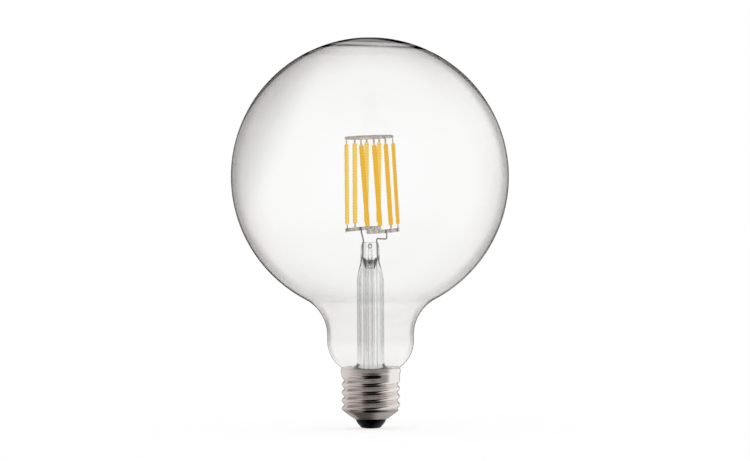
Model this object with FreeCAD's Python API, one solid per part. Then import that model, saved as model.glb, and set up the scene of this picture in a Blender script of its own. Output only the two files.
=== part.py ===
"""Clear globe bulb: eight upright LED filaments in two opposed groups, carried on a pressed glass stem
inside a large blown globe with a screw cap.

Lengths are millimetres and angles are degrees. The origin is the middle of the centre contact's underside,
+Z runs up the axis to the crown, and -Y is the front.
"""
import FreeCAD
import Part
import math
import os

from FreeCAD import Vector

# Glass envelope
globe_diameter = 125.0
envelope_wall = 0.7
shoulder_radius = 18.1      # hollow curve between globe and neck
neck_diameter = 39.0
neck_straight = 2.5
bowl_radius = 14.8          # round underside of the neck
seal_diameter = 19.2        # where envelope and stem flare are melted together

# Screw cap
cap_height = 27.0           # centre contact to the shell's rim
collar_diameter = 26.9      # plain band under the rim
collar_height = 2.2
thread_diameter = 26.2
thread_depth = 1.05
thread_pitch = 3.63
thread_end_angle = 247.0    # where the groove starts to run out, anticlockwise from +X
crest_land = 0.5            # width of the rubbed crest
shell_wall = 0.3
lip_diameter = 14.4         # lower edge of the shell, closed in on the insulator
lip_height = 4.3
cone_height = 4.3           # lip to full thread diameter
rim_gap = 0.55              # glass to shell at the rim
cement_recess = 0.1         # cement below the rim
cement_skirt = 1.9          # cement that creeps inwards past the bore

# Insulator and centre contact
insulator_base_diameter = 8.8
insulator_edge = 0.9
insulator_fill = 2.9        # depth inside the shell, above its lip
contact_diameter = 6.6
contact_thickness = 0.35
eyelet_diameter = 3.0
eyelet_wall = 0.4
eyelet_stand = 0.4          # eyelet above the insulator

# Glass stem
stem_length = 57.5          # seal to the top of the press
stem_diameter = 12.1
stem_wall = 1.15
flare_height = 4.0
press_width = 8.5
press_thickness = 4.2
press_height = 7.0
press_top_width = 7.2       # the press rounds in towards its top
press_top_thickness = 3.0
press_edge = 0.5
shoulder_length = 11.0      # round tube to flat press
exhaust_diameter = 3.7
exhaust_bore = 2.0
exhaust_hold = 2.0          # tube melted into the press
blow_hole_diameter = 2.3
blow_hole_drop = 1.9        # hole's centre below the top of the press

# Lead wires
lead_diameter = 0.65
lead_spread = 6.0           # between the two leads in the stem
lead_bend = 0.9             # bend radius at the wire's middle
left_knee_rise = 0.9        # above the press
right_knee_rise = 1.6
right_drop = 2.7            # from the front bus down to the right lead's level run

# Filament cage, in its own frame: foot ring centre at the origin, filaments upright
filaments_per_group = 4
filament_length = 36.5
filament_width = 2.0
filament_thickness = 1.5
filament_round = 0.6
tab_width = 0.9
tab_thickness = 0.25
tab_reach = 3.3             # coating's end to the far edge of the ring or bus
weld_gap = 0.1              # tab or lead to the strip that it is welded to
top_radius = 11.3
foot_radius = 12.6
top_step_angle = 29.5       # from one filament to the next
foot_step_angle = 25.5
front_turn = 25.0           # middle of each group at the top, from the front towards +X
rear_turn = 200.0
twist = 5.0                 # further turn of the feet
ring_height = 1.0
bus_height = 1.7
strip_thickness = 0.3
bus_start_angle = 4.0       # bus past its first and last foot
bus_end_angle = 16.0
cage_rise = 4.6             # foot ring above the press
cage_offset_x = 1.0
cage_offset_y = 1.4
cage_pitch = 4.0            # front down
cage_lean = -1.8            # top towards -X

# Driver in the cap
board_drop = 7.5            # underside below the shell's rim
board_diameter = 21.2
board_thickness = 1.0
solder_gap = 0.1            # round a wire in its hole
tip_gap = 1.0               # board to the sealed tip of the exhaust tube
package_length = 4.7
package_width = 3.9
package_height = 1.5
package_offset = 6.2        # from the axis
package_leg_reach = 0.9
package_leg_width = 0.6
package_leg_height = 0.4
package_leg_pitch = 2.5
capacitor_diameter = 8.0
capacitor_gap = 1.6         # can to the insulator
capacitor_edge = 0.6
capacitor_offset = 6.2
capacitor_stand = 0.2
capacitor_pin_pitch = 3.5
resistor_diameter = 2.6
resistor_length = 6.0
resistor_edge = 0.6
resistor_drop = 2.5         # below the board
hookup_diameter = 0.6       # resistor and capacitor leads, neutral wire
neutral_offset = 8.8
neutral_gap = 0.6           # wire's end to the shell's ledge
neutral_lap = 2.0           # length that lies against the shell
neutral_bend = 0.7

ORIGIN = Vector(0, 0, 0)
AXIS_X = Vector(1, 0, 0)
AXIS_Y = Vector(0, 1, 0)
AXIS_Z = Vector(0, 0, 1)
WEDGES_PER_TURN = 6         # flat-lying arcs that make up one turn of the thread

# Radii and heights that follow
globe_radius = globe_diameter / 2
neck_radius = neck_diameter / 2
seal_radius = seal_diameter / 2
collar_radius = collar_diameter / 2
collar_bore = collar_radius - shell_wall
crest_radius = thread_diameter / 2
root_radius = crest_radius - thread_depth
shell_bore = root_radius - shell_wall
lip_radius = lip_diameter / 2
cone_slope = (crest_radius - lip_radius) / cone_height
lip_bore = lip_radius - shell_wall * math.hypot(1, cone_slope)
collar_base = cap_height - collar_height
ledge_height = collar_base + shell_wall
stem_radius = stem_diameter / 2
stem_bore = stem_radius - stem_wall
exhaust_radius = exhaust_diameter / 2
lead_radius = lead_diameter / 2
hookup_radius = hookup_diameter / 2
eyelet_radius = eyelet_diameter / 2
insulator_top = lip_height + insulator_fill

rim_glass_radius = collar_bore - rim_gap
bowl_centre_radius = neck_radius - bowl_radius
bowl_height = cap_height + math.sqrt(bowl_radius**2 - (rim_glass_radius - bowl_centre_radius)**2)
shoulder_height = bowl_height + neck_straight
shoulder_centre_radius = neck_radius + shoulder_radius
globe_height = shoulder_height + math.sqrt((globe_radius + shoulder_radius)**2 - shoulder_centre_radius**2)


def bowl_level(radius, arc_radius):
    """Height of the neck's round underside at a distance from the axis."""
    return bowl_height - math.sqrt(arc_radius**2 - (radius - bowl_centre_radius)**2)


seal_outside = bowl_level(seal_radius, bowl_radius)
seal_inside = bowl_level(seal_radius, bowl_radius - envelope_wall)
flare_top = seal_inside + flare_height
press_top = seal_inside + stem_length
press_base = press_top - press_height
stem_shoulder = press_base - shoulder_length
board_height = cap_height - board_drop
board_top = board_height + board_thickness
exhaust_tip = board_top + tip_gap
cage_height = filament_length + 2 * tab_reach
tab_centre_to_strip = tab_thickness / 2 + weld_gap


def at(radius, height):
    """Point of a profile, in the XZ plane."""
    return Vector(radius, 0, height)


def line(start, end):
    return Part.makeLine(start, end)


def arc(centre, radius, start_angle, end_angle):
    """Arc in the XZ plane, with angles from +X towards +Z."""
    angles = [math.radians(a) for a in (start_angle, (start_angle + end_angle) / 2, end_angle)]
    points = [centre + Vector(math.cos(a), 0, math.sin(a)) * radius for a in angles]
    return Part.Arc(*points).toShape()


def arc_between(centre, start, end):
    """Short arc in the XZ plane about a centre, from one point to another."""
    middle = (start + end) * 0.5 - centre
    middle.normalize()
    return Part.Arc(start, centre + middle * (start - centre).Length, end).toShape()


def angle_of(vector):
    return math.degrees(math.atan2(vector.z, vector.x))


def turned(edges, angle=360):
    """Solid of revolution about Z of a closed profile."""
    return Part.Face(Part.Wire(Part.sortEdges(edges)[0])).revolve(ORIGIN, AXIS_Z, angle)


def turned_polygon(points, angle=360):
    corners = [at(*point) for point in points]
    return Part.Face(Part.makePolygon(corners + corners[:1])).revolve(ORIGIN, AXIS_Z, angle)


def upright_cylinder(radius, low, high, x=0.0, y=0.0):
    return Part.makeCylinder(radius, high - low, Vector(x, y, low))


def round_edges(solid, radius, height):
    """Round the circular or oval edges that lie at one height."""
    chosen = [e for e in solid.Edges if abs(e.BoundBox.ZMin - height) < 1e-4 and e.BoundBox.ZLength < 1e-3]
    return solid.makeFillet(radius, chosen)


def bent_wire(points, diameter, bend):
    """Round wire along straight runs joined by tangent arcs."""
    edges = []
    start = points[0]
    for before, corner, after in zip(points, points[1:], points[2:]):
        arriving = (corner - before).normalize()
        leaving = (after - corner).normalize()
        half_turn = arriving.getAngle(leaving) / 2
        trim = bend * math.tan(half_turn)
        inward = (leaving - arriving).normalize()
        arc_start = corner - arriving * trim
        arc_middle = corner + inward * bend * (1 / math.cos(half_turn) - 1)
        arc_end = corner + leaving * trim
        edges.append(Part.makeLine(start, arc_start))
        edges.append(Part.Arc(arc_start, arc_middle, arc_end).toShape())
        start = arc_end
    edges.append(Part.makeLine(start, points[-1]))
    section = Part.Wire(Part.makeCircle(diameter / 2, points[0], points[1] - points[0]))
    return Part.Wire(edges).makePipeShell([section], True, False)


def glass_envelope():
    """Globe, hollow shoulder, neck and round underside, blown as one wall of even thickness."""
    globe_centre = at(0, globe_height)
    shoulder_centre = at(shoulder_centre_radius, shoulder_height)
    bowl_centre = at(bowl_centre_radius, bowl_height)
    join_angle = angle_of(shoulder_centre - globe_centre)

    def wall(inset):
        seal_angle = -math.degrees(math.acos((seal_radius - bowl_centre_radius) / (bowl_radius - inset)))
        return [
            arc(globe_centre, globe_radius - inset, 90, join_angle),
            arc(shoulder_centre, shoulder_radius + inset, 180 + join_angle, 180),
            line(at(neck_radius - inset, shoulder_height), at(neck_radius - inset, bowl_height)),
            arc(bowl_centre, bowl_radius - inset, 0, seal_angle),
        ]

    crown = globe_height + globe_radius
    ends = [
        line(at(0, crown), at(0, crown - envelope_wall)),
        line(at(seal_radius, seal_outside), at(seal_radius, seal_inside)),
    ]
    return turned(wall(0) + wall(envelope_wall) + ends)


def thread_profile():
    """Rolled groove about height zero: a round root that flows into two round crests, open outwards.

    Root and crest have one radius, set by pitch and depth. The crest is rubbed flat by the crest land.
    """
    half_pitch = thread_pitch / 2
    rubbed = crest_land**2 / (8 * thread_depth)
    depth = thread_depth + rubbed
    radius = (half_pitch**2 + depth**2) / (4 * depth)
    half_width = half_pitch - 0.45 * crest_land
    root = at(root_radius + radius, 0)
    crest = at(crest_radius + rubbed - radius, half_pitch)
    join = (root + crest) * 0.5
    edge = at(crest.x + math.sqrt(radius**2 - (half_pitch - half_width)**2), half_width)
    outside = at(crest_radius + thread_depth, half_width)
    flank = [arc_between(crest, join, edge), line(edge, outside)]
    far_flank = [piece.mirror(ORIGIN, AXIS_Z) for piece in flank]
    bottom = Part.Arc(join, at(root_radius, 0), at(join.x, -join.z)).toShape()
    return flank + far_flank + [bottom, line(outside, at(outside.x, -half_width))]


def thread_groove():
    """Right-hand groove as tilted arcs end to end, from its run-out under the collar down past the cone.

    The run-out is an arc of larger radius that leaves the round of the groove and comes out of the metal.
    """
    wedge_angle = 360 / WEDGES_PER_TURN
    half_wedge = math.radians(wedge_angle / 2)
    rise = thread_pitch / WEDGES_PER_TURN
    tilt = math.degrees(math.atan(rise / (2 * crest_radius * math.sin(half_wedge))))
    wedge = turned(thread_profile(), wedge_angle)
    wedge.rotate(ORIGIN, AXIS_Z, -wedge_angle / 2)
    wedge.rotate(ORIGIN, AXIS_X, tilt)
    end_height = collar_base - thread_pitch / 2 - rise
    cone_root = lip_height + (root_radius - lip_radius) / cone_slope
    count = math.ceil((end_height - cone_root + thread_pitch / 2) / rise)
    pieces = []
    for step in range(count):
        piece = wedge.copy()
        piece.rotate(ORIGIN, AXIS_Z, thread_end_angle - (step + 0.5) * wedge_angle)
        piece.translate(AXIS_Z * (end_height - (step + 0.5) * rise))
        pieces.append(piece)
    spread = 1.5 * thread_depth / (1 - math.cos(math.radians(wedge_angle)))
    run_out = Part.Face(Part.Wire(Part.sortEdges(thread_profile())[0]))
    run_out = run_out.revolve(AXIS_X * -spread, AXIS_Z, wedge_angle)
    run_out.rotate(ORIGIN, AXIS_X, tilt)
    run_out.rotate(ORIGIN, AXIS_Z, thread_end_angle)
    run_out.translate(AXIS_Z * end_height)
    return pieces + [run_out]


def screw_shell():
    """Drawn sheet shell: collar, rolled thread, and a cone closed in on the insulator."""
    blank = turned_polygon([
        (0, lip_height),
        (lip_radius, lip_height),
        (crest_radius, lip_height + cone_height),
        (crest_radius, collar_base),
        (collar_radius, ledge_height),
        (collar_radius, cap_height),
        (0, cap_height),
    ])
    cavity = turned_polygon([
        (0, lip_height),
        (lip_bore, lip_height),
        (shell_bore, lip_height + (shell_bore - lip_bore) / cone_slope),
        (shell_bore, ledge_height),
        (collar_bore, ledge_height),
        (collar_bore, cap_height),
        (0, cap_height),
    ])
    return blank.cut(thread_groove()).cut(cavity)


def cap_insulator():
    """Black glass poured into the shell's cone, with a rounded foot and a hole for the eyelet."""
    body = turned_polygon([
        (0, contact_thickness),
        (insulator_base_diameter / 2, contact_thickness),
        (lip_bore, lip_height),
        (lip_bore + insulator_fill * cone_slope, insulator_top),
        (0, insulator_top),
    ])
    body = round_edges(body, insulator_edge, contact_thickness)
    return body.cut(upright_cylinder(eyelet_radius, 0, insulator_top))


def centre_contact():
    """Flat contact disc drawn up into an eyelet through the insulator."""
    body = turned_polygon([
        (0, 0),
        (contact_diameter / 2, 0),
        (contact_diameter / 2, contact_thickness),
        (eyelet_radius, contact_thickness),
        (eyelet_radius, insulator_top + eyelet_stand),
        (eyelet_radius - eyelet_wall, insulator_top + eyelet_stand),
        (eyelet_radius - eyelet_wall, contact_thickness),
        (0, contact_thickness),
    ])
    return round_edges(body, contact_thickness / 2, 0)


def basing_cement():
    """Ring of cement on the shell's ledge, moulded to the underside of the neck."""
    top = cap_height - cement_recess
    outer_contact = bowl_centre_radius + math.sqrt(bowl_radius**2 - (bowl_height - top)**2)
    inner_radius = shell_bore - cement_skirt
    inner_contact = at(inner_radius, bowl_level(inner_radius, bowl_radius))
    bowl_centre = at(bowl_centre_radius, bowl_height)
    return turned([
        line(at(shell_bore, ledge_height), at(collar_bore, ledge_height)),
        line(at(collar_bore, ledge_height), at(collar_bore, top)),
        line(at(collar_bore, top), at(outer_contact, top)),
        arc_between(bowl_centre, at(outer_contact, top), inner_contact),
        line(inner_contact, at(shell_bore, ledge_height)),
    ])


def flare_curve(tube_radius, seal_level):
    """Arc that leaves the stem tube upright and sweeps out to the seal."""
    across = seal_radius - tube_radius
    down = flare_top - seal_level
    radius = (across**2 + down**2) / (2 * across)
    centre = at(tube_radius + radius, flare_top)
    return arc_between(centre, at(tube_radius, flare_top), at(seal_radius, seal_level))


def oval(half_width, half_depth, height):
    """Upright section: a circle, or an ellipse with its long axis along X."""
    centre = Vector(0, 0, height)
    if half_width > half_depth:
        return Part.Wire(Part.Ellipse(centre, half_width, half_depth).toShape())
    return Part.Wire(Part.makeCircle(half_width, centre))


def shoulder_loft(tube_radius, end_width, end_depth, end_height):
    """Solid that flattens from the round tube to an oval end, wider than it is deep."""
    middle = (stem_shoulder + end_height) / 2
    return Part.makeLoft([
        oval(tube_radius, tube_radius, stem_shoulder),
        oval(0.6 * tube_radius + 0.4 * end_width, 0.6 * tube_radius + 0.4 * end_depth, middle),
        oval(end_width, end_depth, end_height),
    ], True)


def stem_tube():
    """Flared tube with its top squeezed flat round the lead wires, and a blow hole through the press."""
    tube = turned([
        flare_curve(stem_radius, seal_inside),
        line(at(stem_radius, flare_top), at(stem_radius, stem_shoulder)),
        line(at(stem_radius, stem_shoulder), at(stem_bore, stem_shoulder)),
        line(at(stem_bore, stem_shoulder), at(stem_bore, flare_top)),
        flare_curve(stem_bore, seal_outside),
        line(at(seal_radius, seal_outside), at(seal_radius, seal_inside)),
    ])
    press = Part.makeLoft([
        oval(press_width / 2, press_thickness / 2, press_base),
        oval(press_width / 2, press_thickness / 2, press_base + 0.55 * press_height),
        oval(press_top_width / 2, press_top_thickness / 2, press_top),
    ], True)
    press = round_edges(press, press_edge, press_top)
    shoulder = shoulder_loft(stem_radius, press_width / 2, press_thickness / 2, press_base)
    hollow = shoulder_loft(stem_bore, press_width / 2 - stem_wall, stem_wall / 2, press_base)
    body = tube.fuse([shoulder.cut(hollow), press])
    blow_level = press_top - blow_hole_drop
    blow_hole = Part.makeCylinder(
        blow_hole_diameter / 2, 2 * press_thickness, Vector(0, -press_thickness, blow_level), AXIS_Y
    )
    passages = [
        upright_cylinder(exhaust_radius, seal_outside, press_base + exhaust_hold),
        upright_cylinder(exhaust_bore / 2, seal_outside, blow_level),
        blow_hole,
        left_lead(),
        right_lead(),
    ]
    return body.cut(passages).removeSplitter()


def exhaust_tube():
    """Thin tube from the press down the stem, drawn to a sealed round tip below the flare."""
    top = press_base + exhaust_hold
    body = upright_cylinder(exhaust_radius, exhaust_tip + exhaust_radius, top)
    tip = Part.makeSphere(exhaust_radius, Vector(0, 0, exhaust_tip + exhaust_radius))
    bore = upright_cylinder(exhaust_bore / 2, exhaust_tip + exhaust_radius, top)
    return body.fuse(tip).removeSplitter().cut(bore)


def cage_placement():
    """Stand of the filament cage on its leads: off the axis, tipped forwards and leaning."""
    lean = FreeCAD.Rotation(AXIS_Y, cage_lean)
    pitch = FreeCAD.Rotation(AXIS_X, cage_pitch)
    foot = Vector(cage_offset_x, cage_offset_y, press_top + cage_rise)
    return FreeCAD.Placement(foot, lean.multiply(pitch))


def on_circle(radius, turn, height):
    """Point of the cage's own frame, with the turn from the front towards +X."""
    angle = math.radians(turn)
    return Vector(radius * math.sin(angle), -radius * math.cos(angle), height)


def left_lead():
    """Lead from the board up the stem, then slanting back to the inner face of the rear bus."""
    inner_face = foot_radius - tab_centre_to_strip - strip_thickness
    radius = inner_face - weld_gap - lead_radius
    turn = rear_turn + twist
    place = cage_placement()
    return bent_wire([
        Vector(-lead_spread / 2, 0, board_height),
        Vector(-lead_spread / 2, 0, press_top + left_knee_rise),
        place.multVec(on_circle(radius, turn, -lead_diameter)),
        place.multVec(on_circle(radius, turn, bus_height)),
    ], lead_diameter, lead_bend)


def right_lead():
    """Lead from the board up the stem, then level under the front bus and up its outer face."""
    outer_face = foot_radius - tab_centre_to_strip
    radius = outer_face + weld_gap + lead_radius
    turn = front_turn + twist
    place = cage_placement()
    return bent_wire([
        Vector(lead_spread / 2, 0, board_height),
        Vector(lead_spread / 2, 0, press_top + right_knee_rise),
        place.multVec(on_circle(radius, turn, -right_drop)),
        place.multVec(on_circle(radius, turn, bus_height)),
    ], lead_diameter, lead_bend)


def strip(radius, height, low, first_turn, last_turn):
    """Upright strip bent round the cage, with its outer face at the radius."""
    ribbon = turned_polygon([
        (radius - strip_thickness, low),
        (radius, low),
        (radius, low + height),
        (radius - strip_thickness, low + height),
    ], last_turn - first_turn)
    ribbon.rotate(ORIGIN, AXIS_Z, first_turn - 90)
    ribbon.Placement = cage_placement().multiply(ribbon.Placement)
    return ribbon


def top_ring():
    return strip(top_radius - tab_centre_to_strip, ring_height, cage_height - ring_height, 0, 360)


def bus(group_turn):
    half_span = (filaments_per_group - 1) / 2 * foot_step_angle
    middle = group_turn + twist
    first = middle - half_span - bus_start_angle
    last = middle + half_span + bus_end_angle
    return strip(foot_radius - tab_centre_to_strip, bus_height, 0, first, last)


def filament(group_turn, index):
    """Coated rod and its foot and top tabs, on the line from the bus to the ring."""
    step = index - (filaments_per_group - 1) / 2
    foot = on_circle(foot_radius, group_turn + twist + step * foot_step_angle, 0)
    top = on_circle(top_radius, group_turn + step * top_step_angle, cage_height)
    upward = top - foot
    outward = Vector(foot.x + top.x, foot.y + top.y, 0)
    tab_length = (upward.Length - filament_length) / 2
    rod = Part.makeBox(filament_width, filament_thickness, filament_length)
    rod.translate(Vector(-filament_width / 2, -filament_thickness / 2, tab_length))
    rod = rod.makeFillet(filament_round, [e for e in rod.Edges if e.BoundBox.ZLength > filament_length / 2])
    foot_tab = Part.makeBox(tab_width, tab_thickness, tab_length)
    foot_tab.translate(Vector(-tab_width / 2, -tab_thickness / 2, 0))
    top_tab = foot_tab.copy()
    top_tab.translate(AXIS_Z * (tab_length + filament_length))
    stand = FreeCAD.Placement(foot, FreeCAD.Rotation(Vector(), outward, upward, "ZYX"))
    for piece in (rod, foot_tab, top_tab):
        piece.Placement = cage_placement().multiply(stand).multiply(piece.Placement)
    return rod, foot_tab, top_tab


def driver_board():
    """Round board with holes for the two leads, the resistor, the neutral wire and the capacitor's pins."""
    disc = upright_cylinder(board_diameter / 2, board_height, board_top)
    lead_hole = lead_radius + solder_gap
    pin_hole = hookup_radius + solder_gap
    holes = [
        (lead_hole, -lead_spread / 2, 0),
        (lead_hole, lead_spread / 2, 0),
        (pin_hole, 0, 0),
        (pin_hole, neutral_offset, 0),
        (pin_hole, -capacitor_offset, -capacitor_pin_pitch / 2),
        (pin_hole, -capacitor_offset, capacitor_pin_pitch / 2),
    ]
    return disc.cut([upright_cylinder(radius, board_height, board_top, x, y) for radius, x, y in holes])


def board_package(y):
    """Moulded four-leg package on the board's upper face, with its legs out along X."""
    lift = package_leg_height / 2
    body = Part.makeBox(package_length, package_width, package_height - lift)
    body.translate(Vector(-package_length / 2, y - package_width / 2, board_top + lift))
    legs = []
    leg_length = package_length + 2 * package_leg_reach
    for side in (-package_leg_pitch / 2, package_leg_pitch / 2):
        leg = Part.makeBox(leg_length, package_leg_width, package_leg_height)
        leg.translate(Vector(-leg_length / 2, y + side - package_leg_width / 2, board_top))
        legs.append(leg)
    return body.fuse(legs).removeSplitter()


def smoothing_capacitor():
    """Can that hangs under the board on its two pins."""
    top = board_height - capacitor_stand
    low = insulator_top + capacitor_gap
    can = upright_cylinder(capacitor_diameter / 2, low, top, -capacitor_offset)
    can = round_edges(round_edges(can, capacitor_edge, low), capacitor_edge, top)
    pins = [
        upright_cylinder(hookup_radius, top, board_top, -capacitor_offset, y)
        for y in (-capacitor_pin_pitch / 2, capacitor_pin_pitch / 2)
    ]
    return can.fuse(pins)


def fuse_resistor():
    """Round resistor on the axis, with leads up to the board and down into the eyelet."""
    top = board_height - resistor_drop
    low = top - resistor_length
    body = upright_cylinder(resistor_diameter / 2, low, top)
    body = round_edges(round_edges(body, resistor_edge, low), resistor_edge, top)
    return body.fuse(upright_cylinder(hookup_radius, contact_thickness, board_top)).removeSplitter()


def neutral_wire():
    """Wire from the board out to the shell, pressed against its bore under the ledge."""
    end = ledge_height - neutral_gap
    level = end - neutral_lap
    against = shell_bore - hookup_radius - weld_gap
    return bent_wire([
        Vector(neutral_offset, 0, board_height),
        Vector(neutral_offset, 0, level),
        Vector(against, 0, level),
        Vector(against, 0, end),
    ], hookup_diameter, neutral_bend)


def build():
    """Every piece of the bulb by name."""
    pieces = {
        "glass_envelope": glass_envelope(),
        "stem_tube": stem_tube(),
        "exhaust_tube": exhaust_tube(),
        "left_lead_wire": left_lead(),
        "right_lead_wire": right_lead(),
        "top_ring": top_ring(),
        "front_bus": bus(front_turn),
        "rear_bus": bus(rear_turn),
        "screw_shell": screw_shell(),
        "cap_insulator": cap_insulator(),
        "centre_contact": centre_contact(),
        "basing_cement": basing_cement(),
        "driver_board": driver_board(),
        "bridge_rectifier": board_package(package_offset),
        "current_regulator": board_package(-package_offset),
        "smoothing_capacitor": smoothing_capacitor(),
        "fuse_resistor": fuse_resistor(),
        "neutral_wire": neutral_wire(),
    }
    number = 0
    for group_turn in (front_turn, rear_turn):
        for index in range(filaments_per_group):
            number += 1
            rod, foot_tab, top_tab = filament(group_turn, index)
            pieces[f"filament_{number}"] = rod
            pieces[f"filament_{number}_foot_tab"] = foot_tab
            pieces[f"filament_{number}_top_tab"] = top_tab
    return pieces


os.makedirs("parts", exist_ok=True)
for name, shape in build().items():
    shape.exportStep(f"parts/{name}.step")
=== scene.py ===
"""Clear globe bulb: blown envelope, pressed glass stem, two groups of filaments and a rolled screw cap.

Lengths are millimetres and angles are degrees until add_piece writes metres. The frame is the CAD model's:
origin under the centre contact, +Z up the axis, -Y the front. Every new piece is a grid of points worked out
with numpy, whose rows run upwards on an outside and downwards on an inside, so that all faces point out of
the material.
"""

import bpy
import numpy as np
from mathutils import Euler, Matrix


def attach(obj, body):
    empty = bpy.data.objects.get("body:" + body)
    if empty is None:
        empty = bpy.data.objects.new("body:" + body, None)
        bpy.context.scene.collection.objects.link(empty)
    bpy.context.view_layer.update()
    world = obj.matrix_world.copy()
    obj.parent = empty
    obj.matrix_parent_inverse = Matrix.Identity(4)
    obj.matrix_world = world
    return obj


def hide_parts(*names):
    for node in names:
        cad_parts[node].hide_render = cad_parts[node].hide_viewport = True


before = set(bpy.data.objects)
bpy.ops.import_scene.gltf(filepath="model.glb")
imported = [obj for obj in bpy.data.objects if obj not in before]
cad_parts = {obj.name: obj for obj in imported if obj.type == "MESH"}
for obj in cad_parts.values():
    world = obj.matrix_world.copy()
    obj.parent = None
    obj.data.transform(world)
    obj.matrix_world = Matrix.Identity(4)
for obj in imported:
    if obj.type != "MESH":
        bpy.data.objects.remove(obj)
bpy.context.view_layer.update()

MM = 0.001

# Glass envelope
GLOBE_RADIUS = 62.5
ENVELOPE_WALL = 0.7
SHOULDER_RADIUS = 18.1
NECK_RADIUS = 19.5
NECK_STRAIGHT = 2.5
BOWL_RADIUS = 14.8
SEAL_RADIUS = 9.6
RIM_GLASS_RADIUS = 12.6
WALL_WAVE = 0.05            # slow wave of the wall's inside, half as much outside
CROWN_EXTRA = 0.55          # gather of thicker glass inside the crown
CROWN_SPREAD = 15.0
RIPPLE_HEIGHT = 0.055       # ripples the blowing left round the crown, on the inside
RIPPLE_RADIUS = 23.0
RIPPLE_SPREAD = 7.0

# Screw cap
CAP_HEIGHT = 27.0
COLLAR_RADIUS = 13.45
COLLAR_BASE = 24.8
LEDGE_HEIGHT = 25.1
CREST_RADIUS = 13.1
THREAD_DEPTH = 1.05
THREAD_PITCH = 3.63
THREAD_END_ANGLE = 247.0
THREAD_END_HEIGHT = 22.38
RUN_OUT_TURNS = 1 / 6
SHELL_WALL = 0.3
SHELL_BORE = 11.75
LIP_RADIUS = 7.2
LIP_BORE = 6.69
LIP_HEIGHT = 4.3
CONE_HEIGHT = 4.3
CONE_PROUD = 0.1
SHELL_SOFTNESS = 0.25       # rounding where the cone meets the thread
RIM_CURL = 0.5              # height of the curled rim, and how far it curls in
RIM_CURL_IN = 0.2
INNER_CONE_TOP = 4.1        # inside of the cone, up from the lip
INNER_LIP = 0.15
INNER_STEP = 0.1
CEMENT_GAP = 0.06
CEMENT_DROP = 0.12          # top of the cement below the shell's rim
CEMENT_FILLET = 0.25
CEMENT_REACH = 1.9          # how far the cement reaches in from the shell's bore
CEMENT_LIFT = 0.2

# Insulator and centre contact
INSULATOR_BASE_RADIUS = 4.4
INSULATOR_EDGE = 0.9
INSULATOR_EDGE_IN = 0.6     # share of the edge's radius by which its centre is set in
INSULATOR_BELLY = 0.35
INSULATOR_OVERLAP = 0.28    # flank's upper end outside the lip's bore and above the lip
INSULATOR_COVER = 0.12
PLUG_GAP = 0.05
PLUG_START = 0.3
PLUG_HEIGHT = 1.2
CONTACT_RADIUS = 3.3
CONTACT_THICKNESS = 0.35
CONTACT_EDGE = 0.12
CONTACT_SEAT = 0.02
SOLDER_START = 0.15
SOLDER_DOME = 0.14
SOLDER_FLAT = 0.6
SOLDER_SLOPE = 1.3

# Glass stem
STEM_LENGTH = 57.5
STEM_RADIUS = 6.05
STEM_WALL = 1.15
FLARE_HEIGHT = 4.0
FLARE_GAP = 0.2
FLARE_CURVE = 2.4           # power of the flare's curve
FLARE_EDGE = 0.5
BORE_GAP = 0.25             # least gap between the bore and the exhaust tube
DOME_DROP = 4.6             # bore's end below the press at front and back, and its rise at the sides
DOME_RISE = 4.7
DOME_HEIGHT = 2.2
PRESS_HALF_WIDTH = 4.25
PRESS_HALF_DEPTH = 2.1
PRESS_HEIGHT = 7.0
PRESS_TOP_HALF_WIDTH = 3.6
PRESS_TOP_HALF_DEPTH = 1.5
PRESS_EDGE = 0.5
STEM_SHOULDER = 11.0
EXHAUST_RADIUS = 1.85
EXHAUST_BORE = 1.0
EXHAUST_TIP = 21.5
BLOW_HOLE_RADIUS = 1.15
BLOW_HOLE_DROP = 1.9
BUBBLE_DEPTH = 1.45         # shares of the blow hole's radius, front to back and upwards
BUBBLE_HEIGHT = 1.1
BUBBLE_NECK = 1.6
BORE_END_RISE = 2.4         # centre of the bore's round end above the sealed tip
SHADE_RING_BEND = 0.16          # rise of the painted shade ring, like the press's closed end, towards the sides, per mm across squared

# Lead wires
LEAD_RADIUS = 0.325
LEAD_SPREAD = 6.0
LEAD_BEND = 1.4
BOARD_HEIGHT = 19.5
LEFT_KNEE_RISE = 0.9
RIGHT_KNEE_RISE = 1.6
RIGHT_DROP = 2.7

# Filament cage
FILAMENTS_PER_GROUP = 4
FILAMENT_LENGTH = 36.5
FILAMENT_WIDTH = 2.0
FILAMENT_THICKNESS = 1.5
CHIP_PITCH = 1.3
BEAD_LENGTH = 0.55
COAT_POWER = 2.8            # powers of the superellipses of coat and strip
STRIP_POWER = 9
COAT_SWELL = 1.0441         # mean width of the coat against the rod, and its two waves
COAT_SLOW_WAVE = 0.024625
COAT_QUICK_WAVE = 0.01773
TAB_REACH = 3.3
TAB_THICKNESS = 0.25
WELD_GAP = 0.1
TOP_RADIUS = 11.3
FOOT_RADIUS = 12.6
TOP_STEP = 29.5
FOOT_STEP = 25.5
GROUP_TURNS = (25.0, 200.0)
TWIST = 5.0
RING_HEIGHT = 1.0
BUS_HEIGHT = 1.7
STRIP_THICKNESS = 0.3
BUS_START = 4.0
BUS_END = 16.0
CAGE_OFFSET = (1.0, 1.4)
CAGE_RISE = 4.6
CAGE_PITCH = 4.0
CAGE_LEAN = -1.8

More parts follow.
